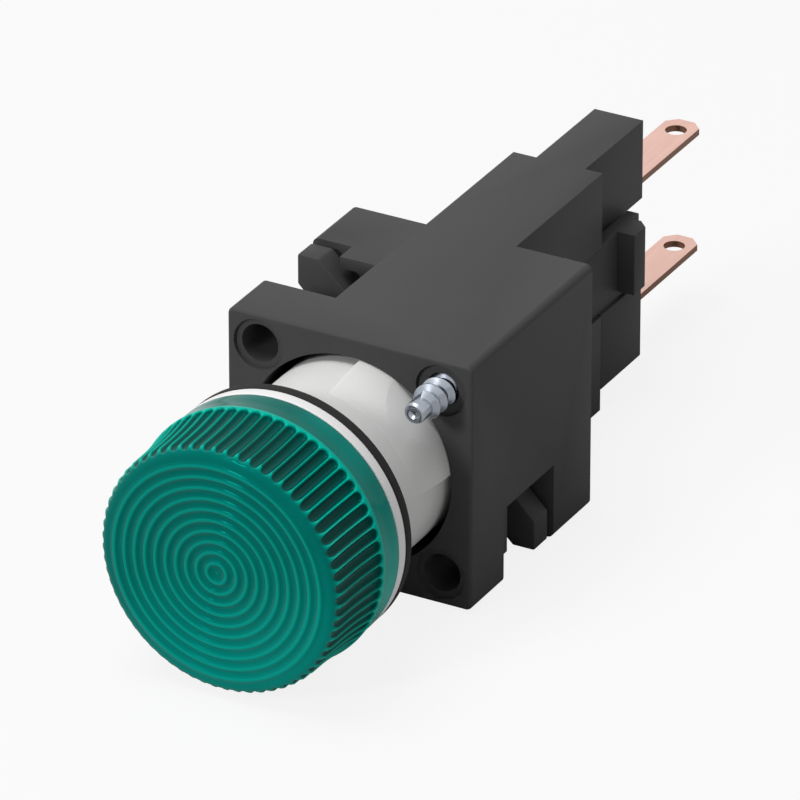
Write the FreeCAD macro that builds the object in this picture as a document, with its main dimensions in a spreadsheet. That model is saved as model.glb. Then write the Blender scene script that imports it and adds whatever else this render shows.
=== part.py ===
import FreeCAD, Part
import math
import os
import Sketcher

# Panel pilot light for a 16 mm hole. Millimetres, +Z up, the lens faces -Y.
# The origin is on the light's axis, in the plane where the seal meets the panel.

Vector = FreeCAD.Vector
doc = FreeCAD.newDocument("PilotLight")
sheet = doc.addObject("Spreadsheet::Sheet", "Sizes")
halfRoot = math.sqrt(0.5)

sizes = {
    # barrel, flange and seal
    "barrelRadius": 8.0,
    "barrelRelief": 0.55,
    "barrelWall": 1.4,
    "earSweep": 79,
    "earFlat": 0.38,
    "earRamp": 4.5,
    "flangeWidth": 1.6,
    "flangeThick": 0.95,
    "sealThick": 0.9,
    "neckLength": 3.15,
    "barrelGap": 0.4,
    "lugHeight": 0.3,
    "lugWidth": 1.2,
    "lugLength": 1.1,
    "lugAngle": 45,
    # lens and what it holds
    "lensProud": 0.02,
    "knurlRise": 0.13,
    "lensTaper": 0.36,
    "lensLength": 8.3,
    "lensWall": 1.05,
    "lensBand": 2.4,
    "lensEdge": 0.9,
    "lensGap": 0.05,
    "knurlCount": 64,
    "knurlWidth": 0.6,
    "knurlDepth": 0.34,
    "ringCount": 10,
    "ringPitch": 0.81,
    "ringHeight": 0.13,
    "ringStart": 0.35,
    "lensSealThick": 0.5,
    "lensSealWidth": 0.6,
    "diffuserWall": 0.7,
    "diffuserLength": 3.8,
    "reflectorWall": 0.5,
    "reflectorSmall": 2.8,
    "reflectorShort": 1.9,
    "reflectorLength": 6.0,
    # running and sliding clearances
    "runGap": 0.05,
    "ringGap": 0.08,
    "seatGap": 0.1,
    # holder block
    "blockFront": 8.4,
    "blockShy": 0.05,
    "blockWiden": 0.1,
    "blockDepth": 17.8,
    "blockRound": 0.5,
    "faceRound": 0.25,
    "sleeveWall": 0.67,
    "windowReach": 5.95,
    "windowLead": 4.8,
    "windowLedge": 1.6,
    "stepDrop": 1.0,
    "stepInset": 0.6,
    "bridgeNotch": 3.15,
    "bridgeThick": 0.9,
    "cornerInset": 2.35,
    "cornerBore": 1.45,
    "cornerRim": 1.95,
    "rimDepth": 0.3,
    # lock ring with its two finger lugs
    "ringLead": 9.65,
    "ringThick": 2.05,
    "ringWall": 0.59,
    "ringSlot": 2.25,
    "shelfPlace": 0.82,
    "windowPast": 2.58,
    "borePast": 3.75,
    "notchDepth": 0.22,
    "notchWidth": 1.5,
    "unlockAngle": 8.5,
    "armAbove": 1.15,
    "armBelow": 1.7,
    "armInset": 0.17,
    # clamp screws
    "screwRadius": 1.2,
    "screwReach": 3.9,
    "tipRadius": 0.8,
    "tipLength": 1.0,
    "tipCup": 0.4,
    "cupDepth": 0.35,
    "screwHead": 1.95,
    "headThick": 1.4,
    "headSink": 0.6,
    "headSlot": 0.5,
    "headRoom": 2.2,
    "seatPast": 0.2,
    # lamp housing and terminal blocks
    "moduleWidth": 7.2,
    "moduleLength": 13.1,
    "cavityWidth": 5.2,
    "cavityHeight": 13.2,
    "rearWall": 2.3,
    "termShift": 0.22,
    "termWidth": 3.95,
    "termLength": 9.0,
    "termUnder": 3.3,
    "insertShort": 2.7,
    "insertFoot": 1.6,
    "insertLedge": -1.9,
    "insertTop": 2.3,
    "insertInset": 0.25,
    "armTop": 3.55,
    "armWall": 0.4,
    "armLength": 9.0,
    "bridgeShort": 2.9,
    "bridgeInset": 0.84,
    "gripLength": 2.4,
    "gripShort": 1.0,
    "gripReach": 1.4,
    "gripBottom": -1.3,
    "gripBevel": 0.7,
    "tongueWidth": 2.9,
    "tongueTop": 1.5,
    "tongueBottom": -7.0,
    # plug tabs and contacts
    "tabWidth": 2.8,
    "tabThick": 0.5,
    "tabLength": 10.9,
    "tabBevel": 0.75,
    "tabHole": 0.8,
    "tabHolePlace": 1.75,
    "upperTab": 4.1,
    "lowerTab": -5.4,
    "legPlace": 4.0,
    "contactWidth": 2.2,
    "contactThick": 0.3,
    "contactLevel": 1.25,
    "contactShort": 5.8,
    "contactRise": 2.2,
    # lamp and its socket
    "glassRadius": 2.45,
    "glassWall": 0.4,
    "glassFront": 3.5,
    "glassRear": 1.8,
    "baseWidth": 4.4,
    "baseThick": 1.9,
    "leadRadius": 0.14,
    "leadLength": 5.0,
    "postPlace": 0.9,
    "filamentPlace": 9.5,
    "socketShort": 2.0,
    "socketHeight": 6.8,
    "socketGap": 0.05,
    "socketFloor": 1.0,
}

for row, (alias, number) in enumerate(sizes.items(), start=1):
    sheet.set(f"A{row}", alias)
    sheet.set(f"B{row}", str(number))
    sheet.setAlias(f"B{row}", alias)
doc.recompute()


class Size:
    """A length that carries its number and the sheet expression behind it."""

    def __init__(self, number, text):
        self.number = number
        self.text = text

    def __add__(self, other):
        other = asSize(other)
        return Size(self.number + other.number, f"({self.text} + {other.text})")

    def __radd__(self, other):
        return asSize(other) + self

    def __sub__(self, other):
        other = asSize(other)
        return Size(self.number - other.number, f"({self.text} - {other.text})")

    def __rsub__(self, other):
        return asSize(other) - self

    def __mul__(self, factor):
        factor = asSize(factor)
        return Size(self.number * factor.number, f"({self.text} * {factor.text})")

    def __rmul__(self, factor):
        return self * factor

    def __truediv__(self, other):
        other = asSize(other)
        return Size(self.number / other.number, f"({self.text} / {other.text})")

    def __neg__(self):
        return Size(-self.number, f"(0 - {self.text})")


def asSize(number):
    return number if isinstance(number, Size) else Size(number, repr(float(number)))


def named(alias):
    return Size(sizes[alias], f"Sizes.{alias}")


def newBody(label):
    body = doc.addObject("PartDesign::Body", label)
    body.Label = label
    body.Placement = FreeCAD.Placement()
    return body


def originPlane(body, role):
    return next(item for item in body.Origin.OriginFeatures if item.Role == role)


def sketchOn(body, name, role, lift=0, along=0, up=0):
    """A sketch on one of the body's own planes, moved by lift along the plane's normal."""
    sketch = body.newObject("Sketcher::SketchObject", name)
    sketch.AttachmentSupport = [(originPlane(body, role), "")]
    sketch.MapMode = "FlatFace"
    for axis, offset in (("x", along), ("y", up), ("z", lift)):
        if isinstance(offset, Size):
            sketch.setExpression(f"AttachmentOffset.Base.{axis}", offset.text)
    return sketch


def acrossSketch(body, name, place, angle=None):
    """A sketch that faces the lens, at the given place along the light's axis."""
    sketch = sketchOn(body, name, "XZ_Plane", lift=-asSize(place))
    if angle is not None:
        turn = FreeCAD.Rotation(Vector(0, 0, 1), angle.number)
        sketch.AttachmentOffset = FreeCAD.Placement(sketch.AttachmentOffset.Base, turn)
        sketch.setExpression("AttachmentOffset.Rotation.Angle", angle.text)
    return sketch


def sideSketch(body, name, across=0, up=0):
    """A sketch in the plane of the light's axis, seen from the side."""
    return sketchOn(body, name, "YZ_Plane", lift=across, up=up)


def hold(sketch, kind, item, point, size):
    """Ties one coordinate of a point to its size."""
    size = asSize(size)
    if size.text == "0.0":
        axis = -2 if kind == "DistanceX" else -1
        sketch.addConstraint(Sketcher.Constraint("PointOnObject", item, point, axis))
        return
    made = sketch.addConstraint(Sketcher.Constraint(kind, -1, 1, item, point, size.number))
    sketch.setExpression(f"Constraints[{made}]", size.text)


def outline(sketch, points):
    """A closed outline of straight lines through the points."""
    first = sketch.GeometryCount
    spots = [Vector(asSize(a).number, asSize(b).number, 0) for a, b in points]
    count = len(points)
    for index in range(count):
        line = Part.LineSegment(spots[index], spots[(index + 1) % count])
        sketch.addGeometry(line, False)
    for index in range(count):
        after = first + (index + 1) % count
        sketch.addConstraint(Sketcher.Constraint("Coincident", first + index, 2, after, 1))
    for index, (along, up) in enumerate(points):
        hold(sketch, "DistanceX", first + index, 1, along)
        hold(sketch, "DistanceY", first + index, 1, up)


def rectangle(sketch, left, right, low, high):
    outline(sketch, [(left, low), (right, low), (right, high), (left, high)])


def circle(sketch, along, up, radius):
    radius = asSize(radius)
    centre = Vector(asSize(along).number, asSize(up).number, 0)
    item = sketch.addGeometry(Part.Circle(centre, Vector(0, 0, 1), radius.number), False)
    hold(sketch, "DistanceX", item, 3, along)
    hold(sketch, "DistanceY", item, 3, up)
    made = sketch.addConstraint(Sketcher.Constraint("Radius", item, radius.number))
    sketch.setExpression(f"Constraints[{made}]", radius.text)


def pad(body, name, sketch, length):
    feature = body.newObject("PartDesign::Pad", name)
    feature.Profile = sketch
    feature.setExpression("Length", asSize(length).text)
    return feature


def pocket(body, name, sketch, depth):
    feature = body.newObject("PartDesign::Pocket", name)
    feature.Profile = sketch
    feature.setExpression("Length", asSize(depth).text)
    return feature


def block(body, name, near, far, *corners, angle=None):
    """A pad between two places along the axis; corners are left, right, low, high."""
    sketch = acrossSketch(body, name + "Face", far, angle)
    rectangle(sketch, *corners)
    return pad(body, name, sketch, asSize(far) - near)


def cutBlock(body, name, near, far, *corners, angle=None):
    """A rectangular cut between two places along the axis."""
    sketch = acrossSketch(body, name + "Face", near, angle)
    rectangle(sketch, *corners)
    return pocket(body, name, sketch, asSize(far) - near)


def spin(body, name, points, across=0, up=0, kind="Revolution"):
    """Turns a profile of (place along the axis, radius) points about the axis."""
    sketch = sideSketch(body, name + "Profile", across, up)
    outline(sketch, points)
    feature = body.newObject(f"PartDesign::{kind}", name)
    feature.Profile = sketch
    feature.ReferenceAxis = (sketch, ["H_Axis"])
    feature.Angle = 360
    return feature


def repeatRound(body, name, features, count):
    """Copies features round the light's axis."""
    pattern = body.newObject("PartDesign::PolarPattern", name)
    pattern.Originals = features
    pattern.Axis = (originPlane(body, "Y_Axis"), [""])
    pattern.Angle = 360
    if isinstance(count, Size):
        pattern.setExpression("Occurrences", count.text)
    else:
        pattern.Occurrences = count
    body.Tip = pattern
    return pattern


def dress(body, kind, name, radius, wanted):
    """Fillets or chamfers the edges of the tip that the test picks."""
    doc.recompute()
    base = body.Tip
    edges = [f"Edge{index + 1}" for index, edge in enumerate(base.Shape.Edges) if wanted(edge)]
    feature = body.newObject(f"PartDesign::{kind}", name)
    feature.Base = (base, edges)
    prop = "Radius" if kind == "Fillet" else "Size"
    feature.setExpression(prop, radius.text)
    return feature


def runsAlong(edge, axis):
    """True for a straight edge parallel to the axis."""
    if edge.Curve.TypeId != "Part::GeomLine":
        return False
    return abs(abs(edge.Curve.Direction.dot(axis)) - 1) < 1e-6


alongX, alongY, alongZ = Vector(1, 0, 0), Vector(0, 1, 0), Vector(0, 0, 1)

# places along the axis that several pieces share
flangeRear = -named("sealThick")
flangeFront = flangeRear - named("flangeThick")
lensRear = flangeFront - named("lensGap")
lensFront = lensRear - named("lensLength")
neckFront = flangeFront - named("neckLength")
blockFront = named("blockFront")
blockRear = blockFront + named("blockDepth")
windowFront = blockFront + named("windowLead")
windowStep = windowFront + named("windowLedge")
ringFront = blockFront + named("ringLead")
windowTop = ringFront + named("shelfPlace")
windowRear = ringFront + named("windowPast")
boreDepth = ringFront + named("borePast")
barrelRear = boreDepth - named("barrelGap")
screwSeat = boreDepth + named("seatPast")
headFront = blockRear - named("headSink")
moduleRear = blockRear + named("moduleLength")
cavityRear = moduleRear - named("rearWall")
termRear = moduleRear + named("termLength")
insertRear = termRear - named("insertShort")
bridgeRear = termRear - named("bridgeShort")
tabTip = termRear + named("tabLength")
legRear = cavityRear - named("legPlace")
socketRear = legRear - named("socketShort")
baseRear = socketRear - 2 * named("socketFloor")
glassRear = boreDepth - named("glassRear")

# radii and half widths that several pieces share
barrelRadius = named("barrelRadius")
tubeRadius = barrelRadius - named("barrelRelief")
barrelBore = barrelRadius - named("barrelWall")
flangeRadius = barrelRadius + named("flangeWidth")
lensRadius = flangeRadius + named("lensProud")
knurlRadius = lensRadius + named("knurlRise")
lensBore = barrelRadius + named("runGap")
lensSealRadius = barrelRadius + named("lensSealWidth")
holderBore = barrelRadius + named("ringGap")
sleeveRadius = holderBore + named("sleeveWall")
lugRadius = barrelRadius + named("lugHeight")
halfHeight = flangeRadius - named("blockShy")
halfWidth = halfHeight + named("blockWiden")
cornerPlace = halfHeight - named("cornerInset")
halfModule = named("moduleWidth") / 2
halfTerm = named("termWidth") / 2
termShift = named("termShift")


def lensCap():
    """Green cap: smooth band, knurled skirt, rounded edge and raised rings on the face."""
    body = newBody("lens_cap")
    edge, band = named("lensEdge"), named("lensBand")
    bandEnd = lensRear - band
    nose = knurlRadius - named("lensTaper")
    inner = lensFront + named("lensWall")
    sealRoom = lensSealRadius + named("seatGap")
    sealFront = flangeFront - named("lensSealThick") - named("seatGap")
    spin(body, "Cap", [
        (lensRear, sealRoom), (lensRear, lensRadius), (lensRear - 0.3 * band, lensRadius),
        (bandEnd, knurlRadius), (lensFront + 0.6 * edge, nose),
        (lensFront + 0.2 * edge, nose - 0.4 * edge), (lensFront, nose - edge), (lensFront, 0),
        (inner, 0), (inner, lensBore), (sealFront, lensBore), (sealFront, sealRoom),
    ])
    start, pitch, crest = named("ringStart"), named("ringPitch"), lensFront - named("ringHeight")
    count = int(sizes["ringCount"])
    ridges = [(lensFront + 0.1, start + count * pitch), (lensFront + 0.1, start)]
    for index in range(count):
        ridges.append((lensFront, start + index * pitch))
        ridges.append((crest, start + (index + 0.5) * pitch))
    ridges.append((lensFront, start + count * pitch))
    face = sideSketch(body, "RingsProfile")
    outline(face, ridges)
    rings = body.newObject("PartDesign::Revolution", "Rings")
    rings.Profile = face
    rings.ReferenceAxis = (face, ["H_Axis"])
    rings.Angle = 360
    flute = sketchOn(body, "FluteOutline", "XY_Plane", lift=knurlRadius)
    halfFlute = named("knurlWidth") / 2
    front, rear = lensFront + 0.2 * edge, bandEnd + 0.1
    tuck = 0.4 * halfFlute
    outline(flute, [
        (-halfFlute, front + tuck), (-tuck, front), (tuck, front), (halfFlute, front + tuck),
        (halfFlute, rear - tuck), (tuck, rear), (-tuck, rear), (-halfFlute, rear - tuck),
    ])
    cut = pocket(body, "Flute", flute, named("knurlDepth") + named("lensTaper") / 2)
    repeatRound(body, "Knurl", [cut], named("knurlCount"))
    return body


def diffuserCup():
    """White cup that sits in the lens and spreads the light."""
    body = newBody("diffuser")
    wall, gap = named("diffuserWall"), named("runGap")
    front = lensFront + named("lensWall") + gap
    rear = front + named("diffuserLength")
    outer = lensBore - gap
    spin(body, "Cup", [
        (front, 0), (front, outer), (rear, outer), (rear, outer - wall),
        (front + wall, outer - wall), (front + wall, 0),
    ])
    return body


def barrelTube():
    """Grey tube with the pale flange, the neck for the lens, two guide ears and two rear lugs."""
    body = newBody("barrel")
    spin(body, "Tube", [
        (neckFront, barrelBore), (neckFront, barrelRadius - 0.2), (neckFront + 0.2, barrelRadius),
        (flangeFront, barrelRadius), (flangeFront, flangeRadius),
        (flangeRear, flangeRadius), (flangeRear, tubeRadius),
        (barrelRear, tubeRadius), (barrelRear, barrelBore),
    ])
    middle = (barrelBore + tubeRadius) / 2
    profile = sideSketch(body, "EarProfile")
    tilt = FreeCAD.Rotation(Vector(1, 0, 0), 45)
    profile.AttachmentOffset = FreeCAD.Placement(Vector(), tilt)
    rampFront = blockFront - named("earRamp")
    outline(profile, [
        (rampFront, middle), (rampFront, tubeRadius), (blockFront - 0.5, barrelRadius),
        (barrelRear, barrelRadius), (barrelRear, middle),
    ])
    ear = body.newObject("PartDesign::Revolution", "Ear")
    ear.Profile = profile
    ear.ReferenceAxis = (profile, ["H_Axis"])
    ear.Midplane = True
    ear.setExpression("Angle", named("earSweep").text)
    flat = cutBlock(body, "EarFlat", rampFront - 0.5, barrelRear + 1, barrelRadius - named("earFlat"),
                    barrelRadius + 1, -named("barrelRadius") / 2, named("barrelRadius") / 2,
                    angle=named("lugAngle"))
    half = named("lugWidth") / 2
    lug = block(body, "Lug", barrelRear - named("lugLength"), barrelRear, middle,
                lugRadius, -half, half, angle=named("lugAngle"))
    repeatRound(body, "Pair", [ear, flat, lug], 2)
    return body


def washer(label, near, far, inner, outer):
    """A plain flat ring."""
    body = newBody(label)
    spin(body, "Ring", [(near, inner), (near, outer), (far, outer), (far, inner)])
    return body


def reflectorCone():
    """White sleeve in the barrel that narrows to a cone round the lamp."""
    body = newBody("reflector")
    wall, small = named("reflectorWall"), named("reflectorSmall")
    reach = barrelRear - named("reflectorShort")
    outer = barrelBore - named("runGap")
    front, bend = neckFront + 0.4, reach - named("reflectorLength")
    spin(body, "Cone", [
        (front, outer - wall), (front, outer), (bend, outer), (reach, small + wall),
        (reach, small), (bend, outer - wall),
    ])
    return body


def cornerWindows(body):
    """Stepped windows through two opposite corners, where the lock ring's lugs show."""
    start = named("windowReach") - halfWidth
    farX, farZ = -halfWidth - 1, halfHeight + 1
    top = halfHeight - named("stepDrop")
    side = -halfWidth + named("stepInset")
    step = acrossSketch(body, "WindowStepFace", windowFront)
    outline(step, [
        (start, farZ), (start, top), (side + named("stepInset"), top), (side, top - named("stepInset")),
        (side, -start), (farX, -start), (farX, farZ),
    ])
    stepCut = pocket(body, "WindowStep", step, windowStep - windowFront)
    deepCut = cutBlock(body, "Window", windowStep, windowTop,
                       farX, start, -start, farZ)
    rear = acrossSketch(body, "WindowRearFace", windowTop)
    shelf = halfHeight - named("bridgeThick")
    bridgeEnd = named("bridgeNotch") - halfWidth
    outline(rear, [
        (start, -start), (start, shelf), (bridgeEnd, shelf), (bridgeEnd, farZ),
        (farX, farZ), (farX, -start),
    ])
    rearCut = pocket(body, "WindowRear", rear, windowRear - windowTop)
    repeatRound(body, "Windows", [stepCut, deepCut, rearCut], 2)


def cornerHoles(body):
    """Open holes in two corners, and screw holes with deep head seats in the other two."""
    place, rim = cornerPlace, named("cornerRim")
    corners = [(-place, place), (place, -place), (place, place), (-place, -place)]
    for name, spots, radius, near, far in (
        ("CornerRims", corners, rim, blockFront, blockFront + named("rimDepth")),
        ("OpenHoles", corners[:2], named("cornerBore"), blockFront, windowStep + 0.5),
        ("ScrewHoles", corners[2:], named("screwRadius") + named("runGap"), blockFront,
         screwSeat + 0.5),
        ("HeadSeats", corners[2:], named("headRoom"), screwSeat, blockRear + 1),
    ):
        face = acrossSketch(body, name + "Face", near)
        for along, up in spots:
            circle(face, along, up, radius)
        pocket(body, name, face, far - near)


def tabRoom(body, level):
    """The slot for a plug tab through a rear wall."""
    gap = named("runGap")
    halfTab, halfThick = named("tabWidth") / 2 + gap, named("tabThick") / 2 + gap
    cutBlock(body, "TabSlot", cavityRear - 1, termRear + 1, termShift - halfTab, termShift + halfTab,
             level - halfThick, level + halfThick)


def armGrooves(body):
    """Open grooves in both sides of the lamp housing for the terminal block's arms."""
    gap = named("runGap")
    floor = halfModule - named("insertInset") - named("armWall") - gap
    low, high = named("insertLedge") - gap, named("armTop") + gap
    front = moduleRear - named("armLength") - gap
    for name, near, far in (("RightGroove", floor, halfModule + 1), ("LeftGroove", -halfModule - 1, -floor)):
        cutBlock(body, name, front, moduleRear + 1, near, far, low, high)


def housing():
    """Black moulding: holder block, lamp housing behind it and the upper terminal block."""
    body = newBody("housing")
    block(body, "Block", blockFront, blockRear, -halfWidth, halfWidth, -halfHeight, halfHeight)
    dress(body, "Fillet", "BlockRound", named("blockRound"), lambda edge: runsAlong(edge, alongY))
    dress(body, "Fillet", "FaceRound", named("faceRound"),
          lambda edge: edge.CenterOfMass.y < blockFront.number + 0.01)
    cornerWindows(body)
    sleeve = acrossSketch(body, "SleeveFace", boreDepth)
    circle(sleeve, 0, 0, sleeveRadius)
    pad(body, "Sleeve", sleeve, boreDepth - windowFront)
    block(body, "Module", blockRear - 1, moduleRear, -halfModule, halfModule, -halfHeight, halfHeight)
    block(body, "UpperBlock", moduleRear - 1, termRear,
          termShift - halfTerm, termShift + halfTerm, named("termUnder"), halfHeight)
    inset = named("bridgeInset")
    block(body, "Bridge", moduleRear - 1, bridgeRear, termShift - halfTerm + inset,
          termShift + halfTerm - inset, named("insertTop") + named("seatGap"),
          named("termUnder") + 0.5)
    slotFront, slotRear = ringFront - named("seatGap"), ringFront + named("ringSlot")
    lugRoom = lugRadius + 2 * named("ringGap")
    slotRadius = holderBore + named("ringGap") + named("ringWall") + named("ringGap")
    front = blockFront - 1
    spin(body, "Bore", [
        (front, 0), (front, holderBore), (slotFront, holderBore), (slotFront, slotRadius),
        (slotRear, slotRadius), (slotRear, lugRoom), (boreDepth, lugRoom), (boreDepth, 0),
    ], kind="Groove")
    keyHalf = named("lugWidth") / 2 + named("ringGap")
    keyway = cutBlock(body, "Keyway", front, boreDepth, holderBore - 1, lugRoom,
                      -keyHalf, keyHalf, angle=named("lugAngle"))
    repeatRound(body, "Keyways", [keyway], 2)
    cornerHoles(body)
    halfCavity, halfTall = named("cavityWidth") / 2, named("cavityHeight") / 2
    cutBlock(body, "Cavity", boreDepth - 1, cavityRear, -halfCavity, halfCavity, -halfTall, halfTall)
    armGrooves(body)
    gap = named("runGap")
    halfTongue = named("tongueWidth") / 2 + gap
    cutBlock(body, "TongueSlot", cavityRear - 1, moduleRear + 1, termShift - halfTongue,
             termShift + halfTongue, named("tongueBottom") - gap, named("tongueTop") + gap)
    tabRoom(body, named("upperTab"))
    return body


def lockRing():
    """Thin ring that turns in its slot, with two finger lugs in the corner windows."""
    body = newBody("lock_ring")
    front, rear = ringFront, ringFront + named("ringThick")
    inner = holderBore + named("ringGap")
    outer = inner + named("ringWall")
    spin(body, "Band", [(front, inner), (front, outer), (rear, outer), (rear, inner)])
    above, below = named("armAbove"), named("armBelow")
    left, top = -halfWidth + named("armInset"), halfHeight - named("armInset")
    root = (inner + outer) / 2
    aboveReach = (top / halfRoot) - above
    belowReach = (-left / halfRoot) - below
    arm = acrossSketch(body, "ArmFace", rear)
    outline(arm, [
        ((above - root) * halfRoot, (above + root) * halfRoot),
        ((above - aboveReach) * halfRoot, top),
        (left, top),
        (left, (belowReach - below) * halfRoot),
        (-(root + below) * halfRoot, (root - below) * halfRoot),
    ])
    finger = pad(body, "Arm", arm, named("ringThick"))
    half = named("notchWidth") / 2
    notch = cutBlock(body, "Notch", front - 1, rear + 1, inner - 1, inner + named("notchDepth"),
                     -half, half, angle=named("lugAngle") - named("unlockAngle"))
    repeatRound(body, "Pair", [finger, notch], 2)
    return body


def clampScrew(label, side):
    """Bright screw with a cupped tip; side is 1 for the upper right corner, -1 for its opposite."""
    body = newBody(label)
    place = side * cornerPlace
    tip, tipRadius, radius = blockFront - named("screwReach"), named("tipRadius"), named("screwRadius")
    cup, head = named("tipCup"), named("screwHead")
    headRear = headFront + named("headThick")
    neck = tip + named("tipLength")
    spin(body, "Shank", [
        (tip + named("cupDepth"), 0), (tip, cup), (tip, tipRadius - 0.15), (tip + 0.15, tipRadius),
        (neck, tipRadius), (neck + radius - tipRadius, radius), (headFront, radius),
        (headFront, head), (headRear - 0.3, head), (headRear, head - 0.3), (headRear, 0),
    ], across=place, up=place)
    halfSlot = named("headSlot") / 2
    cutBlock(body, "Slot", headRear - named("headThick") / 2, headRear + 1,
             place - head - 1, place + head + 1, place - halfSlot, place + halfSlot)
    return body


def terminalInsert():
    """Lower terminal block, plugged into the housing; its two side arms end in finger grips."""
    body = newBody("terminal_insert")
    gap = named("runGap")
    inset, ledge, top = named("insertInset"), named("insertLedge"), named("insertTop")
    front = moduleRear + gap
    foot = named("insertFoot") - halfHeight
    inner = halfTerm + named("seatGap") * 4
    panel = halfModule - inset
    block(body, "Foot", front, insertRear, -halfModule, halfModule, foot, ledge)
    block(body, "Middle", front, insertRear, -panel, panel, ledge - 0.5, top)
    armFront, armTop = moduleRear - named("armLength"), named("armTop")
    gripRear = insertRear - named("gripShort")
    gripFront = gripRear - named("gripLength")
    reach, bevel = panel + named("gripReach"), named("gripBevel")
    for side, name in ((1, "Right"), (-1, "Left")):
        arm = acrossSketch(body, name + "ArmFace", front + 1)
        rectangle(arm, side * panel, side * (panel - named("armWall")), ledge, armTop)
        pad(body, name + "Arm", arm, front + 1 - armFront)
        wall = acrossSketch(body, name + "WallFace", insertRear)
        rectangle(wall, side * panel, side * inner, ledge, armTop)
        pad(body, name + "Wall", wall, insertRear - front)
        grip = sketchOn(body, name + "GripOutline", "XY_Plane", lift=named("gripBottom"))
        outline(grip, [
            (side * (panel - 0.5), gripFront), (side * reach, gripFront),
            (side * reach, gripRear - bevel), (side * (reach - bevel), gripRear),
            (side * (panel - 0.5), gripRear),
        ])
        pad(body, name + "Grip", grip, armTop - named("gripBottom"))
    half = named("tongueWidth") / 2
    block(body, "Tongue", cavityRear, front + 1, termShift - half, termShift + half,
          named("tongueBottom"), named("tongueTop"))
    tabRoom(body, named("lowerTab"))
    return body


def plugTab(label, level, side):
    """Flat tab with a hole and bevelled tip; its inner leg turns towards the lamp."""
    body = newBody(label)
    thick, width = named("tabThick"), named("tabWidth")
    leg, tip = legRear, tabTip
    near = level - side * thick / 2
    far = level + side * thick / 2
    legEnd = side * named("contactLevel")
    strip = sideSketch(body, "StripProfile", across=termShift - width / 2)
    outline(strip, [
        (leg - thick, legEnd), (leg, legEnd), (leg, near), (tip, near), (tip, far), (leg - thick, far),
    ])
    pad(body, "Strip", strip, width)
    hole = sketchOn(body, "HoleOutline", "XY_Plane", lift=level + 2)
    circle(hole, termShift, tip - named("tabHolePlace"), named("tabHole"))
    pocket(body, "Hole", hole, 4)
    dress(body, "Chamfer", "TipBevel", named("tabBevel"),
          lambda edge: runsAlong(edge, alongZ) and edge.CenterOfMass.y > tabTip.number - 0.01)
    return body


def contactSpring(label, side):
    """Spring strip from a tab's leg to the lamp's lead."""
    body = newBody(label)
    thick, width, level = named("contactThick"), named("contactWidth"), named("contactLevel")
    face = legRear - named("tabThick")
    tip = baseRear - named("contactShort")
    strip = sideSketch(body, "StripProfile", across=-width / 2)
    outline(strip, [
        (tip, side * level), (face, side * level),
        (face, side * (level + named("contactRise"))),
        (face - thick, side * (level + named("contactRise"))),
        (face - thick, side * (level + thick)), (tip, side * (level + thick)),
    ])
    pad(body, "Strip", strip, width)
    return body


def lampSocket():
    """Insulating block that holds the lamp's flat base between the springs."""
    body = newBody("lamp_socket")
    gap = named("socketGap")
    half, tall = named("cavityWidth") / 2 - gap, named("socketHeight") / 2
    front, rear = boreDepth + named("seatPast"), socketRear
    block(body, "Block", front, rear, -half, half, -tall, tall)
    baseHalf, baseTall = named("baseWidth") / 2 + gap, named("baseThick") / 2 + gap
    cutBlock(body, "BaseSlot", front - 1, rear - named("socketFloor"), -baseHalf, baseHalf, -baseTall, baseTall)
    halfStrip = named("contactWidth") / 2 + gap
    level = named("contactLevel") + named("contactThick") + gap
    cutBlock(body, "StripSlot", front - 1, rear + 1, -halfStrip, halfStrip, -level, level)
    return body


def lampGlass():
    """Clear tube bulb with a flat pinched base."""
    body = newBody("lamp_glass")
    radius, wall = named("glassRadius"), named("glassWall")
    front, rear = named("glassFront"), glassRear
    bend = 0.5 * radius
    spin(body, "Bulb", [
        (front, 0), (front, radius - bend), (front + bend, radius), (rear, radius), (rear, 0),
        (rear - wall, 0), (rear - wall, radius - wall), (front + bend, radius - wall),
        (front + wall, radius - bend), (front + wall, 0),
    ])
    half, thick = named("baseWidth") / 2, named("baseThick") / 2
    block(body, "Base", rear - wall / 2, baseRear, -half, half, -thick, thick)
    return body


def lampLead(label, side):
    """Lead wire folded back over one face of the lamp's base."""
    body = newBody(label)
    radius = named("leadRadius")
    level = side * (named("baseThick") / 2 + radius)
    wire = acrossSketch(body, "WireFace", baseRear)
    circle(wire, 0, level, radius)
    pad(body, "Wire", wire, named("leadLength"))
    return body


def lampFilament():
    """Two posts and the filament between them, inside the bulb."""
    body = newBody("lamp_filament")
    radius, place = named("leadRadius"), named("postPlace")
    foot = glassRear - named("glassWall")
    bar = glassRear - named("filamentPlace")
    for name, level in (("UpperPost", place), ("LowerPost", -place)):
        face = acrossSketch(body, name + "Face", foot)
        circle(face, 0, level, radius)
        pad(body, name, face, foot - bar)
        if name == "UpperPost":
            wire = sketchOn(body, "FilamentFace", "XY_Plane", lift=-place)
            circle(wire, 0, bar + radius / 2, radius / 2)
            pad(body, "Filament", wire, 2 * place)
    return body


contactSide = {"upper": 1, "lower": -1}
bodies = [
    lensCap(),
    diffuserCup(),
    barrelTube(),
    washer("seal_ring", flangeRear, asSize(0), tubeRadius + named("runGap"), flangeRadius),
    washer("lens_seal", flangeFront - named("lensSealThick"), flangeFront, barrelRadius, lensSealRadius),
    reflectorCone(),
    housing(),
    lockRing(),
    clampScrew("clamp_screw_upper", 1),
    clampScrew("clamp_screw_lower", -1),
    terminalInsert(),
    plugTab("tab_upper", named("upperTab"), 1),
    plugTab("tab_lower", named("lowerTab"), -1),
    lampSocket(),
    lampGlass(),
    lampFilament(),
]
for which, sign in contactSide.items():
    bodies.append(contactSpring("contact_" + which, sign))
    bodies.append(lampLead("lamp_lead_" + which, sign))
doc.recompute()

for item in doc.Objects:
    if "Invalid" in item.State or "Error" in item.State:
        raise RuntimeError(f"{item.Name} did not compute: {item.State}")

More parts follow.
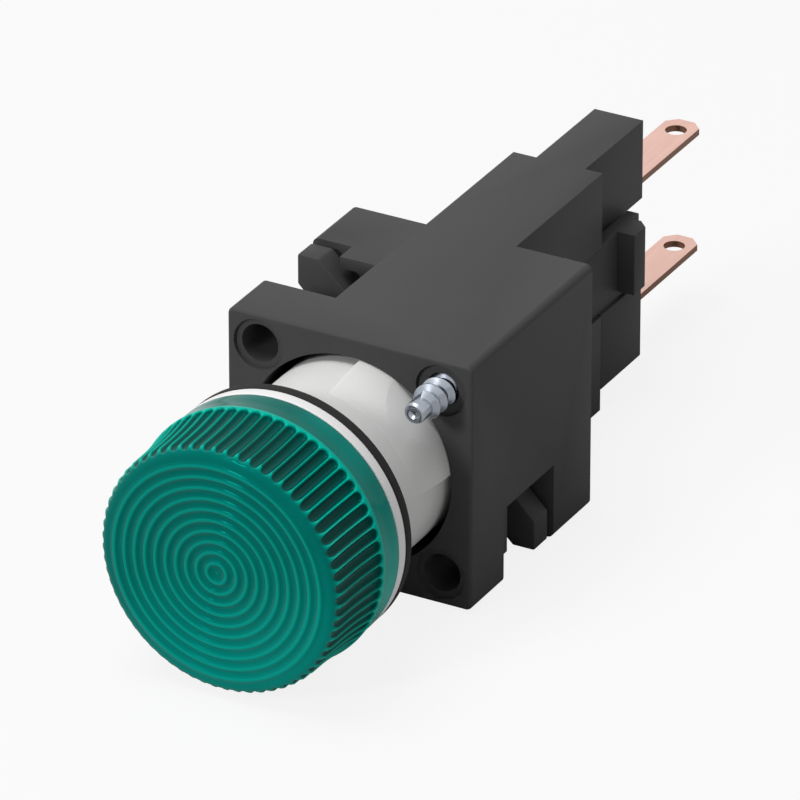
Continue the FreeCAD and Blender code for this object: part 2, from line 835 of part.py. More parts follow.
os.makedirs("parts", exist_ok=True)
for body in bodies:
    shape = body.Shape
    if shape.isNull() or not shape.isValid():
        raise RuntimeError(f"{body.Label} has no valid shape")
    print(f"{body.Label:18s} {len(shape.Solids)} solid, {shape.Volume:9.2f} mm3")
    shape.exportStep(f"parts/{body.Label}.step")
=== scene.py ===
import math
import bpy
import bmesh
from mathutils import Matrix, Vector


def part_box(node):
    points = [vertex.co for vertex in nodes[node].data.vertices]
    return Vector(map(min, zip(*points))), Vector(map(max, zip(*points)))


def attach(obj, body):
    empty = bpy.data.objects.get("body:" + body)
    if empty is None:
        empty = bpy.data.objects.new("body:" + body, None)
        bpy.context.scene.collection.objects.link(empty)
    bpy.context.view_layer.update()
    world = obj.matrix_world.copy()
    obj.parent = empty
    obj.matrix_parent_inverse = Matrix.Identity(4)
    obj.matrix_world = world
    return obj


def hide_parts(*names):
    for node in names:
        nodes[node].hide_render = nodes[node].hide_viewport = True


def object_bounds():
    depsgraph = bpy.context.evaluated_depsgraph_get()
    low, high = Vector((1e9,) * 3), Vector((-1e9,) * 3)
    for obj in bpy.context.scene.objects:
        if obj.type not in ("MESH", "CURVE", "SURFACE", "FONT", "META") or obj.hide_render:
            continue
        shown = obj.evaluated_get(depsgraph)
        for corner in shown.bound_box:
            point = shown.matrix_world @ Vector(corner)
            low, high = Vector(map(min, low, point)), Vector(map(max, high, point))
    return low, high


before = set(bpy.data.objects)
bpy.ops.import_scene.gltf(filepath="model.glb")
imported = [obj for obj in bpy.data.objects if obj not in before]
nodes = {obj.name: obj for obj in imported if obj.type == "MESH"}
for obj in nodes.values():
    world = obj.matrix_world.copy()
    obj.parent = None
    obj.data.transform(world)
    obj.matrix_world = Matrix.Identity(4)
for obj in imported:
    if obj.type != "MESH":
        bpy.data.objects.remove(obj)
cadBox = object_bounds()
mm = 0.001
print("frame loaded:", len(nodes), "nodes")


class Signal:
    # a node socket that takes part in ordinary arithmetic
    def __init__(self, finish, socket):
        self.finish = finish
        self.socket = socket

    def maths(self, operation, other=None, swapped=False):
        first, second = (other, self) if swapped else (self, other)
        sockets = {0: first} if other is None else {0: first, 1: second}
        return self.finish.add("ShaderNodeMath", {"operation": operation}, sockets)[0]

    def __add__(self, other):
        return self.maths("ADD", other)

    def __radd__(self, other):
        return self.maths("ADD", other)

    def __sub__(self, other):
        return self.maths("SUBTRACT", other)

    def __rsub__(self, other):
        return self.maths("SUBTRACT", other, swapped=True)

    def __mul__(self, other):
        return self.maths("MULTIPLY", other)

    def __rmul__(self, other):
        return self.maths("MULTIPLY", other)

    def __abs__(self):
        return self.maths("ABSOLUTE")

    def root(self):
        return self.maths("SQRT")

    def sine(self):
        return self.maths("SINE")


class Outputs:
    # a node's outputs by index or name, each one as a Signal
    def __init__(self, finish, node):
        self.finish = finish
        self.node = node

    def __getitem__(self, key):
        return Signal(self.finish, self.node.outputs[key])


class Finish:
    # one material: a Principled shader with its procedural inputs
    def __init__(self, name, colour, roughness, **constants):
        self.material = bpy.data.materials.new(name)
        self.material.use_nodes = True
        self.tree = self.material.node_tree
        self.tree.nodes.clear()
        self.shader = self.tree.nodes.new("ShaderNodeBsdfPrincipled")
        self.output = self.tree.nodes.new("ShaderNodeOutputMaterial")
        self.tree.links.new(self.shader.outputs["BSDF"], self.output.inputs["Surface"])
        self.set("Base Color", (*colour, 1))
        self.set("Roughness", roughness)
        for socket, value in constants.items():
            self.set(socket.replace("_", " "), value)
        place = self.add("ShaderNodeTexCoord")
        self.place = place["Object"]
        self.facing = place["Normal"]

    def set(self, name, value):
        if isinstance(value, Signal):
            self.tree.links.new(value.socket, self.shader.inputs[name])
        else:
            self.shader.inputs[name].default_value = value

    def add(self, kind, settings=None, sockets=None):
        node = self.tree.nodes.new(kind)
        for name, value in (settings or {}).items():
            if name == "stops":
                self.fillRamp(node.color_ramp, value)
            else:
                setattr(node, name, value)
        for name, value in (sockets or {}).items():
            if isinstance(value, Signal):
                self.tree.links.new(value.socket, node.inputs[name])
            else:
                node.inputs[name].default_value = value
        return Outputs(self, node)

    def fillRamp(self, ramp, stops):
        while len(ramp.elements) < len(stops):
            ramp.elements.new(1.0)
        for element, (spot, colour) in zip(ramp.elements, stops):
            element.position = spot
            element.color = (*colour, 1) if len(colour) == 3 else colour

    def split(self, vector):
        parts = self.add("ShaderNodeSeparateXYZ", sockets={"Vector": vector})
        return parts["X"], parts["Y"], parts["Z"]

    def noise(self, scale, detail=3.0, stretch=(1, 1, 1)):
        where = self.add("ShaderNodeMapping", sockets={"Vector": self.place, "Scale": stretch})
        grain = self.add("ShaderNodeTexNoise", sockets={"Vector": where["Vector"], "Scale": scale,
                                                         "Detail": detail})
        return grain["Fac"]

    def span(self, value, low, high, toLow=0.0, toHigh=1.0, smooth=True):
        settings = {"interpolation_type": "SMOOTHSTEP" if smooth else "LINEAR"}
        return self.add("ShaderNodeMapRange", settings,
                        {"Value": value, "From Min": low, "From Max": high,
                         "To Min": toLow, "To Max": toHigh})["Result"]

    def blend(self, factor, first, second):
        mix = self.add("ShaderNodeMix", {"data_type": "RGBA"},
                       {0: factor, 6: self.colour(first), 7: self.colour(second)})
        return mix[2]

    def colour(self, value):
        return value if isinstance(value, Signal) else (*value, 1)

    def bump(self, height, distance, strength=1.0):
        lump = self.add("ShaderNodeBump", sockets={"Height": height, "Distance": distance,
                                                   "Strength": strength})
        self.set("Normal", lump["Normal"])


def mouldedPlastic(name, colour, roughness, grain=0.00002, wander=0.12, **constants):
    # satin moulding: faint cloudiness in the colour and a fine pebbled skin
    finish = Finish(name, colour, roughness, **constants)
    cloud = finish.noise(260, 4)
    pebble = finish.noise(5200, 2)
    dark = tuple(part * (1 - wander) for part in colour)
    light = tuple(min(1, part * (1 + wander)) for part in colour)
    finish.set("Base Color", finish.blend(cloud, dark, light))
    finish.set("Roughness", roughness - 0.06 + 0.12 * cloud)
    finish.bump(pebble, grain, 0.5)
    return finish


lensPlan = {
    "flutes": 64, "stepsPerFlute": 10, "fluteWidth": 0.79 * mm, "fluteDepth": 0.34 * mm,
    "edgeRound": 0.9 * mm, "noseRadius": 9.39 * mm, "bandFront": 2.4 * mm, "bandRadius": 9.62 * mm,
    "wall": 1.05 * mm, "bore": 8.05 * mm, "sealBore": 8.7 * mm, "sealRoom": 0.55 * mm,
    "rings": 10, "ringStart": 0.35 * mm, "ringPitch": 0.81 * mm, "ringRelief": 0.17 * mm,
    "stepsPerRing": 8, "edgeSteps": 10, "slopeSteps": 7, "slopeBend": 2.5, "fluteEnd": 0.05 * mm,
    "fluteFlat": 2.6, "fluteWall": 0.6, "lipFront": 0.02 * mm, "lipRear": 0.06 * mm,
    "bandSlope": 1.1 * mm, "lipRound": 0.05 * mm, "bandRound": 0.4 * mm, "rearRound": 0.12 * mm,
    # crest and ridge are painted highlight colours; floor is the painted shade colour of the flute
    # floors
    "face": (0.0006, 0.135, 0.112), "crest": (0.001, 0.33, 0.26), "floor": (0.0003, 0.065, 0.055),
    "ridge": (0.001, 0.42, 0.32), "band": (0.001, 0.25, 0.205), "shine": (0.0, 0.9, 0.75),
}


def makeLensFinish():
    # painted highlights make the thin crests of the translucent plastic bright, and painted shade
    # makes the flute floors dark
    plan = lensPlan

    def shade(colour, share):
        return tuple(share * part for part in plan[colour])

    finish = Finish("greenLens", plan["face"], 0.12, IOR=1.49, Specular_IOR_Level=0.1,
                    Specular_Tint=(*plan["shine"], 1))
    x, y, z = finish.split(finish.place)
    radius = (x * x + z * z).root()
    front, rear = (corner.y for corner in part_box("lens_cap"))
    swirl = finish.noise(330, 4)
    wave = ((radius - plan["ringStart"]) * (2 * math.pi / plan["ringPitch"]) - math.pi / 2).sine()
    # painted highlight: the ring crests of the face are brighter, more so low on the face
    crestHighlight = finish.span(wave, 0.25, 1.0) * 0.72
    ringEnd = plan["ringStart"] + plan["rings"] * plan["ringPitch"]
    crestHighlight = crestHighlight * finish.span(radius, ringEnd, ringEnd - 0.3 * mm)
    face = finish.blend(swirl, shade("face", 0.86), shade("face", 1.14))
    lower = finish.span(z - 0.35 * x, 2 * mm, -9 * mm)  # more light comes through low on the face
    face = finish.blend(crestHighlight * (0.75 + 0.5 * lower), face, plan["crest"])
    face = finish.blend(lower * 0.6, face, shade("face", 1.9))
    fluteShade = finish.add("ShaderNodeAttribute", {"attribute_name": "flute"})["Fac"]
    # painted highlight on the flute ridges, painted shade in the flute floors, by the depth of the
    # groove
    side = finish.blend(finish.span(fluteShade, 0.03, 0.5), plan["ridge"], plan["floor"])
    bandStart = rear - plan["bandFront"]
    depth = finish.span(finish.noise(130, 2), 0.35, 0.65)
    band = finish.blend(depth, shade("band", 0.5), shade("band", 0.8))
    # painted light: the band is brighter low down
    paintedLightBelow = finish.span(z, 6 * mm, -7 * mm)
    band = finish.blend(paintedLightBelow, band, shade("band", 1.7))
    # painted highlight along the lip at the band's front
    lipHighlight = finish.span(abs(y - (bandStart + plan["lipRear"])), 0.2 * mm, 0.05 * mm)
    band = finish.blend(lipHighlight * 0.8, band, plan["ridge"])
    side = finish.blend(finish.span(y, bandStart - 0.12 * mm, bandStart + 0.1 * mm), side, band)
    skirt = finish.span(y, front + 0.3 * mm, front + 0.75 * mm)
    finish.set("Base Color", finish.blend(skirt, face, side))
    finish.set("Roughness", 0.08 + 0.1 * swirl)
    return finish


def makeCopperFinish():
    finish = Finish("copperTab", (0.80, 0.53, 0.45), 0.36, Metallic=1.0)
    upward = finish.split(finish.facing)[2]
    flat = finish.span(abs(upward), 0.3, 0.7)
    streak = finish.noise(700, 4, (3, 0.35, 3))
    plate = finish.blend(streak, (0.66, 0.41, 0.345), (0.82, 0.545, 0.47))
    # painted shade: faces that don't lie flat, the tabs' thin sides, are dark brown
    finish.set("Base Color", finish.blend(flat, (0.22, 0.11, 0.07), plate))
    finish.set("Roughness", 0.3 + 0.16 * streak)
    finish.bump(streak, 0.00002, 0.35)
    return finish


def makeZincFinish():
    finish = Finish("zincScrew", (0.42, 0.46, 0.52), 0.24, Metallic=1.0)
    cloud = finish.noise(900, 4)
    finish.set("Base Color", finish.blend(cloud, (0.26, 0.29, 0.34), (0.46, 0.50, 0.55)))
    finish.set("Roughness", 0.16 + 0.22 * cloud)
    finish.bump(finish.noise(2600, 3), 0.00002, 0.4)
    return finish


def makeBarrelFinish():
    # light grey tube; its flange in front of the seal is nearly white
    finish = mouldedPlastic("greyBarrel", (0.66, 0.66, 0.65), 0.5, Specular_IOR_Level=0.3)
    along = finish.split(finish.place)[1]
    cloud = finish.noise(240, 4)
    tube = finish.blend(cloud, (0.63, 0.63, 0.62), (0.69, 0.69, 0.68))
    flange = finish.span(along, 0.0, -0.2 * mm, smooth=False)
    finish.set("Base Color", finish.blend(flange, tube, (0.76, 0.75, 0.75)))
    return finish


greenLens = makeLensFinish()
greyBarrel = makeBarrelFinish()
blackPlastic = mouldedPlastic("blackMoulding", (0.056, 0.056, 0.057), 0.5, Specular_IOR_Level=0.07)
blackInsert = mouldedPlastic("blackInsert", (0.050, 0.050, 0.052), 0.5, Specular_IOR_Level=0.1)
blackRubber = mouldedPlastic("blackRubber", (0.014, 0.013, 0.013), 0.75, grain=0.00003,
                             Specular_IOR_Level=0.2)
whitePlastic = mouldedPlastic("whiteMoulding", (0.80, 0.81, 0.79), 0.5, wander=0.03)
copperTab = makeCopperFinish()
zincScrew = makeZincFinish()
lampGlass = Finish("lampGlass", (0.94, 0.96, 0.96), 0.05, IOR=1.47, Transmission_Weight=0.9)
lampWire = mouldedPlastic("lampWire", (0.55, 0.55, 0.57), 0.3, wander=0.2, Metallic=1.0)

carriedOver = {
    "diffuser": whitePlastic, "reflector": whitePlastic, "lamp_socket": whitePlastic,
    "lens_seal": blackRubber, "tab_upper": copperTab, "tab_lower": copperTab,
    "contact_upper": copperTab, "contact_lower": copperTab, "lamp_glass": lampGlass,
    "lamp_filament": lampWire, "lamp_lead_upper": lampWire, "lamp_lead_lower": lampWire,
}
for name, finish in carriedOver.items():
    nodes[name].data.materials.clear()
    nodes[name].data.materials.append(finish.material)
print("finishes made:", len(bpy.data.materials))


def pieceFrom(bm, name, finish, body, stands, smoothAngle=35):
    bmesh.ops.remove_doubles(bm, verts=bm.verts, dist=1e-7)
    bmesh.ops.recalc_face_normals(bm, faces=bm.faces)
    for face in bm.faces:
        face.smooth = True
    limit = math.radians(smoothAngle)
    for edge in bm.edges:
        if len(edge.link_faces) == 2:
            edge.smooth = edge.calc_face_angle(0) < limit
    mesh = bpy.data.meshes.new(name)
    bm.to_mesh(mesh)
    bm.free()
    piece = bpy.data.objects.new(name, mesh)
    bpy.context.scene.collection.objects.link(piece)
    mesh.materials.append(finish.material)
    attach(piece, body)
    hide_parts(stands)
    print(name, "has", len(mesh.polygons), "faces")


def turned(bm, points, steps, centre=(0, 0), closed=False):
    # spins a (place along the axis, radius) profile about a line parallel to the light's axis
    spots = [bm.verts.new((centre[0], along, centre[1] + out)) for along, out in points]
    pairs = list(zip(spots, spots[1:])) + ([(spots[-1], spots[0])] if closed else [])
    edges = [bm.edges.new(pair) for pair in pairs]
    bmesh.ops.spin(bm, geom=spots + edges, cent=(centre[0], 0, centre[1]), axis=(0, 1, 0),
                   angle=2 * math.pi, steps=steps, use_merge=True)
    bmesh.ops.remove_doubles(bm, verts=bm.verts, dist=1e-8)


def rounded(corner, before, after, radius, pieces=4):
    # points of a small round at a profile's corner
    corner, before, after = Vector(corner), Vector(before), Vector(after)
    start = corner + (before - corner).normalized() * radius
    end = corner + (after - corner).normalized() * radius
    found = []
    for index in range(pieces + 1):
        t = index / pieces
        found.append(tuple(start * (1 - t) ** 2 + corner * 2 * t * (1 - t) + end * t ** 2))
    return found


def roundedProfile(points, radii):
    found = []
    for index, (point, radius) in enumerate(zip(points, radii)):
        if radius and 0 < index < len(points) - 1:
            found += rounded(point, points[index - 1], points[index + 1], radius)
        else:
            found.append(tuple(point))
    return found


def makeLens():
    plan = lensPlan
    low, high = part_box("lens_cap")
    face, rear, knurl = low.y + plan["ringRelief"], high.y, high.x
    edge, nose = plan["edgeRound"], plan["noseRadius"]
    slope, band = face + edge, rear - plan["bandFront"]
    last, half = band - plan["fluteEnd"], plan["fluteWidth"] / 2

    def skirt(share):
        return nose + (knurl - nose) * share ** plan["slopeBend"]

    points = [(face, 0)]
    for index in range(plan["rings"] * plan["stepsPerRing"] + 1):
        turn = index / plan["stepsPerRing"]
        swell = 0.5 - 0.5 * math.cos(2 * math.pi * turn)
        points.append((face - plan["ringRelief"] * swell,
                       plan["ringStart"] + plan["ringPitch"] * turn))
    for index in range(1, plan["edgeSteps"] + 1):
        turn = math.pi / 2 * index / plan["edgeSteps"]
        points.append((face + edge * (1 - math.cos(turn)), nose - edge * (1 - math.sin(turn))))
    for index in range(1, plan["slopeSteps"]):
        share = index / plan["slopeSteps"]
        points.append((slope + (band - slope) * share, skirt(share)))
    for index in range(plan["slopeSteps"], -1, -1):  # closer steps where the flutes end
        spot = last - 0.98 * half * index / plan["slopeSteps"]
        points.append((spot, skirt((spot - slope) / (band - slope))))
    outer = [(band - plan["lipFront"], knurl), (band + plan["lipRear"], knurl),
             (band + plan["bandSlope"], plan["bandRadius"]), (rear, plan["bandRadius"]),
             (rear, plan["sealBore"])]
    points += roundedProfile(outer, [0, plan["lipRound"], plan["bandRound"], plan["rearRound"], 0])
    inner, sealFront = face + plan["wall"], rear - plan["sealRoom"]
    points += [(sealFront, plan["sealBore"]), (sealFront, plan["bore"]),
               (inner, plan["bore"]), (inner, 0)]
    bm = bmesh.new()
    turned(bm, points, plan["flutes"] * plan["stepsPerFlute"])
    flute = bm.verts.layers.float.new("flute")
    pitch = 2 * math.pi / plan["flutes"]
    for vert in bm.verts:
        out = math.hypot(vert.co.x, vert.co.z)
        if out < nose - edge or not face <= vert.co.y < last:
            continue
        turn = math.atan2(vert.co.x, vert.co.z)
        across = abs((turn + pitch / 2) % pitch - pitch / 2) * nose
        beyond = max(vert.co.y - last + half, 0)
        share = min(1, math.hypot(across, beyond) / half)
        depth = plan["fluteDepth"] * (1 - share ** plan["fluteFlat"]) ** plan["fluteWall"]
        deep = skirt(max(0, (vert.co.y - slope) / (band - slope))) - depth
        if depth > 0 and out > deep:
            vert[flute] = min(1, (out - deep) / plan["fluteDepth"])
            vert.co *= Vector((deep / out, 1, deep / out))
    pieceFrom(bm, "lens", greenLens, "lens", "lens_cap", 40)


makeLens()

mouldPlan = {  # the black pieces keep their solid's form and get soft moulded edges
    "lock_ring": {"name": "lockRing", "body": "lock", "edge": 0.14 * mm, "short": 0.1 * mm,
                  "beyond": 13.2 * mm},
    "terminal_insert": {"name": "terminalInsert", "body": "light_body", "edge": 0.08 * mm,
                        "short": 0.3 * mm, "beyond": 0},
    "housing": {"name": "holder", "body": "light_body", "edge": 0.08 * mm, "short": 1.5 * mm,
                "beyond": 0},
}


def makeMoulding(node, finish):
    plan = mouldPlan[node]
    bm = bmesh.new()
    bm.from_mesh(nodes[node].data)
    bmesh.ops.remove_doubles(bm, verts=bm.verts, dist=1e-6)
    bmesh.ops.dissolve_limit(bm, angle_limit=math.radians(1), verts=bm.verts, edges=bm.edges)
    sharp = []
    for edge in bm.edges:
        if len(edge.link_faces) != 2 or edge.calc_length() < plan["short"]:
            continue
        angle = edge.calc_face_angle_signed(0)
        far = max(abs(vert.co.x) + abs(vert.co.z) for vert in edge.verts) > plan["beyond"]
        if math.radians(40) < angle < math.radians(100) and far:
            sharp.append(edge)
    bmesh.ops.bevel(bm, geom=sharp, offset=plan["edge"], affect="EDGES", segments=2,
                    profile=0.5, material=-1, clamp_overlap=True)
    pieceFrom(bm, plan["name"], finish, plan["body"], node)


makeMoulding("lock_ring", blackInsert)
makeMoulding("terminal_insert", blackInsert)
makeMoulding("housing", blackPlastic)

barrelPlan = {
    "neck": 8.0 * mm, "tube": 7.45 * mm, "bore": 6.6 * mm, "steps": 192, "earTurn": 45,
    "earSweep": 79, "earSteps": 32, "earFlat": 7.62 * mm, "earStart": 3.9 * mm,
    "earFull": 7.9 * mm, "earRise": 6, "earEdge": 0.12 * mm, "lugTop": 8.3 * mm,
    "lugWidth": 1.2 * mm, "lugLength": 1.1 * mm, "neckRound": 0.2 * mm, "flangeRound": 0.15 * mm,
    "rearRound": 0.1 * mm,
}


def makeEar(bm, rear):
    # a thicker strip along the tube, with a flat and a lug in its middle
    plan = barrelPlan
    middle = (plan["bore"] + plan["tube"]) / 2
    profile = [(plan["earStart"], middle)]
    for index in range(plan["earRise"] + 1):  # the ear swells gently out of the tube
        share = index / plan["earRise"]
        swell = share ** 2 * (3 - 2 * share)
        profile.append((plan["earStart"] + (plan["earFull"] - plan["earStart"]) * share,
                        plan["tube"] + (plan["neck"] - plan["tube"]) * swell))
    profile += [(rear, plan["neck"]), (rear, middle)]
    start = bm.faces.new([bm.verts.new((0, along, out)) for along, out in profile])
    bmesh.ops.spin(bm, geom=[start], cent=(0, 0, 0), axis=(0, 1, 0),
                   angle=math.radians(plan["earSweep"]), steps=plan["earSteps"])
    bmesh.ops.rotate(bm, verts=bm.verts, cent=(0, 0, 0),
                     matrix=Matrix.Rotation(math.radians(-plan["earSweep"] / 2), 3, "Y"))
    cut = bmesh.ops.bisect_plane(bm, geom=bm.verts[:] + bm.edges[:] + bm.faces[:],
                                 plane_co=(0, 0, plan["earFlat"]), plane_no=(0, 0, 1),
                                 clear_outer=True)["geom_cut"]
    rim = [part for part in cut if isinstance(part, bmesh.types.BMEdge)]
    bmesh.ops.contextual_create(bm, geom=rim)
    lug = Matrix.Translation((0, rear - plan["lugLength"] / 2, (middle + plan["lugTop"]) / 2))
    lug @= Matrix.Diagonal((plan["lugWidth"], plan["lugLength"], plan["lugTop"] - middle, 1))
    bmesh.ops.create_cube(bm, size=1, matrix=lug)
    bmesh.ops.recalc_face_normals(bm, faces=bm.faces)
    sharp = [edge for edge in bm.edges if edge.calc_face_angle(0) > math.radians(30)]
    bmesh.ops.bevel(bm, geom=sharp, offset=plan["earEdge"], affect="EDGES", segments=3,
                    profile=0.5, material=-1)
    bmesh.ops.rotate(bm, verts=bm.verts, cent=(0, 0, 0),
                     matrix=Matrix.Rotation(math.radians(plan["earTurn"]), 3, "Y"))


def makeBarrel():
    plan = barrelPlan
    low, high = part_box("barrel")
    flangeRear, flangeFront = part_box("seal_ring")[0].y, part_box("lens_seal")[1].y
    neck, tube, bore, flange = plan["neck"], plan["tube"], plan["bore"], high.x
    bm = bmesh.new()
    makeEar(bm, high.y)
    twin = bmesh.ops.duplicate(bm, geom=bm.verts[:] + bm.edges[:] + bm.faces[:])["geom"]
    bmesh.ops.rotate(bm, verts=[part for part in twin if isinstance(part, bmesh.types.BMVert)],
                     cent=(0, 0, 0), matrix=Matrix.Rotation(math.pi, 3, "Y"))
    profile = [(low.y, bore), (low.y, neck), (flangeFront, neck), (flangeFront, flange),
               (flangeRear, flange), (flangeRear, tube), (high.y, tube), (high.y, bore)]
    radii = [0, plan["neckRound"], 0, plan["flangeRound"], plan["flangeRound"], 0,
             plan["rearRound"], 0, 0, 0]
    points = roundedProfile(profile + profile[:2], radii)[:-2]
    turned(bm, points, plan["steps"], closed=True)
    pieceFrom(bm, "barrelTube", greyBarrel, "light_body", "barrel")


makeBarrel()

screwPlan = {
    "steps": 48, "tip": 0.8 * mm, "tipLength": 1.0 * mm, "tipRound": 0.3 * mm,
    "cup": 0.42 * mm, "cupDepth": 0.35 * mm, "cupRound": 0.12 * mm, "core": 0.8 * mm,
    "crest": 1.2 * mm, "taper": 0.3 * mm, "stepRound": 0.1 * mm, "pitch": 1.1 * mm,
    "ridgeFoot": 0.36, "ridgeTop": 0.12, "ridgeRunOut": 0.3, "sunk": 0.05 * mm,
    "threadLength": 15.0 * mm, "headSteps": 64, "headThick": 1.4 * mm, "headRound": 0.12 * mm,
    "slotWidth": 0.5 * mm, "slotDepth": 0.7 * mm,
}


def makeScrew(label, body):
    plan = screwPlan
    low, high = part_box(label)
    across = (low.x + high.x) / 2, (low.z + high.z) / 2
    head = (high.x - low.x) / 2
    tip, rear = low.y, high.y
    shoulder = tip + plan["tipLength"]
    headFront, slotFloor = rear - plan["headThick"], rear - plan["slotDepth"]
    threadEnd = tip + plan["threadLength"]
    bm = bmesh.new()
    for side in (0, 180):  # the two halves of the head beside its slot
        half = bmesh.new()
        bmesh.ops.create_circle(half, cap_ends=True, segments=plan["headSteps"], radius=head)
        bmesh.ops.bisect_plane(half, geom=half.verts[:] + half.edges[:] + half.faces[:],
                               plane_co=(0, plan["slotWidth"] / 2, 0), plane_no=(0, -1, 0),
                               clear_outer=True)
        grown = bmesh.ops.extrude_face_region(half, geom=half.faces[:])["geom"]
        bmesh.ops.translate(half, vec=(0, 0, rear - slotFloor + plan["sunk"]),
                            verts=[part for part in grown if isinstance(part, bmesh.types.BMVert)])
        top = [edge for edge in half.edges if all(vert.co.z > 0 for vert in edge.verts)]
        bmesh.ops.bevel(half, geom=top, offset=plan["headRound"], affect="EDGES", segments=3,
                        profile=0.5, material=-1)
        place = Matrix.Translation((across[0], slotFloor - plan["sunk"], across[1]))
        place @= Matrix.Rotation(math.radians(side), 4, "Y")
        place @= Matrix.Rotation(-math.pi / 2, 4, "X")
        bmesh.ops.transform(half, matrix=place, verts=half.verts)
        part = bpy.data.meshes.new("halfHead")
        half.to_mesh(part)
        half.free()
        bm.from_mesh(part)
        bpy.data.meshes.remove(part)
    profile = [(tip + plan["cupDepth"], 0), (tip, plan["cup"]), (tip, plan["tip"]),
               (shoulder, plan["tip"]), (shoulder + plan["taper"], plan["core"]),
               (threadEnd, plan["core"]), (threadEnd + plan["taper"], plan["crest"]),
               (headFront, plan["crest"]), (headFront, head), (slotFloor, head), (slotFloor, 0)]
    radii = [0, plan["cupRound"], plan["tipRound"], plan["stepRound"], 0, 0, 0, 0,
             plan["stepRound"], 0, 0]
    turned(bm, roundedProfile(profile, radii), plan["steps"], across)
    turns = (threadEnd - shoulder) / plan["pitch"] - plan["ridgeRunOut"]
    foot, root = plan["ridgeFoot"] * plan["pitch"], plan["core"] - plan["sunk"]
    start, flat = shoulder + foot, plan["ridgeTop"] * foot
    ridge = [(start - foot, root), (start - flat, plan["crest"]),
             (start + flat, plan["crest"]), (start + foot, root)]
    begin = bm.faces.new([bm.verts.new((across[0], along, across[1] + out))
                          for along, out in ridge])
    steps = int(plan["steps"] * turns)
    bmesh.ops.spin(bm, geom=[begin], cent=(across[0], 0, across[1]), axis=(0, 1, 0),
                   angle=2 * math.pi * turns, steps=steps,
                   dvec=(0, plan["pitch"] * turns / steps, 0))
    pieceFrom(bm, label.replace("clamp_screw", "clampScrew"), zincScrew, body,
              label, 40)


makeScrew("clamp_screw_upper", "screw_upper")
makeScrew("clamp_screw_lower", "screw_lower")

sealPlan = {"clearance": 0.05 * mm, "edgeRound": 0.2 * mm, "steps": 192}


def makeSeal():
    plan = sealPlan
    low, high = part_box("seal_ring")
    bore = barrelPlan["tube"] + plan["clearance"]
    profile = [(low.y, bore), (low.y, high.x), (high.y, high.x), (high.y, bore)]
    points = roundedProfile([profile[-1]] + profile + profile[:1],
                            [0, 0, plan["edgeRound"], plan["edgeRound"], 0, 0])[1:-1]
    bm = bmesh.new()
    turned(bm, points, plan["steps"], closed=True)
    pieceFrom(bm, "sealRing", blackRubber, "light_body", "seal_ring")


makeSeal()

floorPlan = {"reach": 2.5, "below": 0.02 * mm, "grey": (0.62, 0.62, 0.62), "whiteShare": 0.86}


def makeFloor():
    # grey enough to keep the object's shadow, and mixed with white where the camera sees it
    plan = floorPlan
    bm = bmesh.new()
    bmesh.ops.create_grid(bm, x_segments=1, y_segments=1, size=plan["reach"],
                          matrix=Matrix.Translation((0, 0, cadBox[0].z - plan["below"])))
    mesh = bpy.data.meshes.new("floor")
    bm.to_mesh(mesh)
    bm.free()
    floor = bpy.data.objects.new("floor", mesh)
    bpy.context.scene.collection.objects.link(floor)
    finish = Finish("paleFloor", plan["grey"], 0.9, Specular_IOR_Level=0.1)
    glow = finish.add("ShaderNodeEmission", sockets={"Color": (1, 1, 1, 1), "Strength": 1.0})
    seen = finish.add("ShaderNodeLightPath")["Is Camera Ray"]
    plain = Signal(finish, finish.shader.outputs["BSDF"])
    shown = finish.add("ShaderNodeMixShader",
                       sockets={0: seen * plan["whiteShare"], 1: plain, 2: glow["Emission"]})
    finish.tree.links.new(shown[0].socket, finish.output.inputs["Surface"])
    mesh.materials.append(finish.material)


makeFloor()


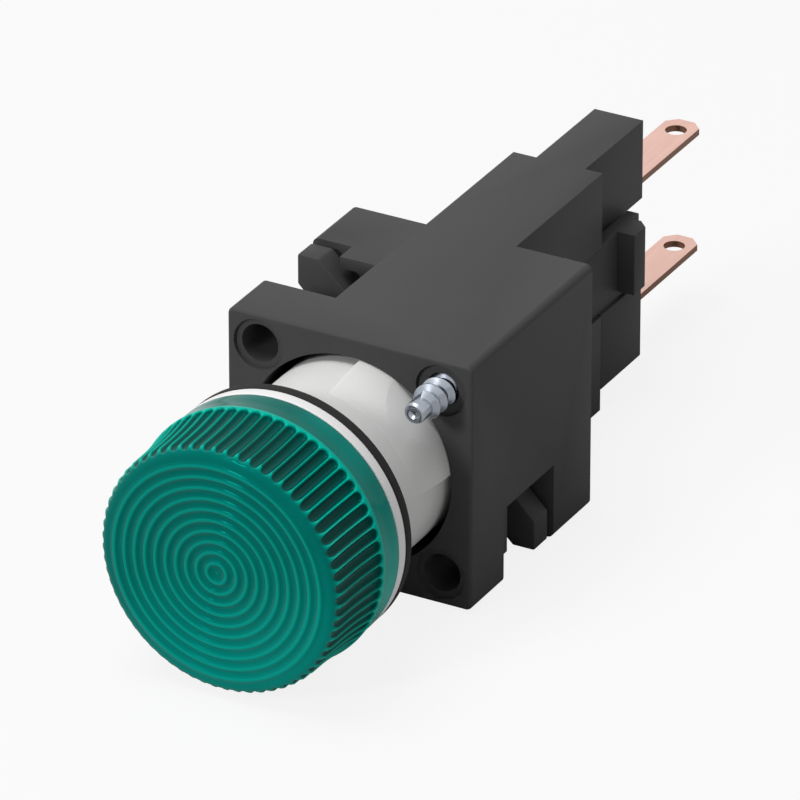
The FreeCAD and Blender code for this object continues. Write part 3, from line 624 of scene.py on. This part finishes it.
def makeWorld(softLight):
    # white where it is seen, reflected or seen through; a plain soft light otherwise
    world = bpy.data.worlds.new("studio")
    bpy.context.scene.world = world
    world.use_nodes = True
    tree = world.node_tree
    tree.nodes.clear()
    rays = tree.nodes.new("ShaderNodeLightPath")
    seen = rays.outputs["Is Camera Ray"]
    for name in ("Is Glossy Ray", "Is Transmission Ray"):
        either = tree.nodes.new("ShaderNodeMath")
        either.operation = "MAXIMUM"
        tree.links.new(seen, either.inputs[0])
        tree.links.new(rays.outputs[name], either.inputs[1])
        seen = either.outputs[0]
    strength = tree.nodes.new("ShaderNodeMapRange")
    strength.inputs["To Min"].default_value = softLight
    strength.inputs["To Max"].default_value = 1.0
    tree.links.new(seen, strength.inputs["Value"])
    sky = tree.nodes.new("ShaderNodeBackground")
    sky.inputs["Color"].default_value = (1, 1, 1, 1)
    tree.links.new(strength.outputs["Result"], sky.inputs["Strength"])
    output = tree.nodes.new("ShaderNodeOutputWorld")
    tree.links.new(sky.outputs["Background"], output.inputs["Surface"])


makeWorld(0.3)

viewPlan = {"azimuth": 28.667, "elevation": 27.832, "distance": 665.85 * mm,
            "aim": Vector((2.171, 11.788, 3.658)) * mm, "focalPixels": 9591.0,
            "frameWidth": 800, "sensor": 36, "nearest": 10 * mm}


def viewAxes(azimuth, elevation):
    a, e = math.radians(azimuth), math.radians(elevation)
    back = Vector((math.sin(a) * math.cos(e), -math.cos(a) * math.cos(e), math.sin(e)))
    right = Vector((math.cos(a), math.sin(a), 0))
    return right, back.cross(right), back


lampPlan = {
    "key": {"side": -0.3, "rise": 1.0, "toward": 0.5, "reach": 0.5, "size": 0.35, "power": 1.8},
    "front": {"side": -0.6, "rise": 0.12, "toward": 0.75, "reach": 0.5, "size": 0.09, "power": 1.0},
}


def makeLamps():
    right, up, back = viewAxes(viewPlan["azimuth"], viewPlan["elevation"])
    for name, plan in lampPlan.items():
        data = bpy.data.lights.new(name, "AREA")
        data.shape = "DISK"
        data.size = plan["size"]
        data.energy = plan["power"]
        lamp = bpy.data.objects.new(name, data)
        away = right * plan["side"] + up * plan["rise"] + back * plan["toward"]
        away = away.normalized() * plan["reach"]
        lamp.location = viewPlan["aim"] + away
        lamp.rotation_euler = away.to_track_quat("Z", "Y").to_euler()
        bpy.context.scene.collection.objects.link(lamp)


makeLamps()


def makeCamera():
    right, up, back = viewAxes(viewPlan["azimuth"], viewPlan["elevation"])
    data = bpy.data.cameras.new("photoView")
    data.sensor_width = viewPlan["sensor"]
    data.lens = viewPlan["focalPixels"] / viewPlan["frameWidth"] * viewPlan["sensor"]
    data.clip_start = viewPlan["nearest"]
    camera = bpy.data.objects.new("photoView", data)
    place = Matrix.Translation(viewPlan["aim"] + back * viewPlan["distance"])
    camera.matrix_world = place @ Matrix((right, up, back)).transposed().to_4x4()
    bpy.context.scene.collection.objects.link(camera)
    bpy.context.scene.camera = camera


makeCamera()
bpy.context.scene.view_settings.view_transform = "Standard"
print("studio ready")
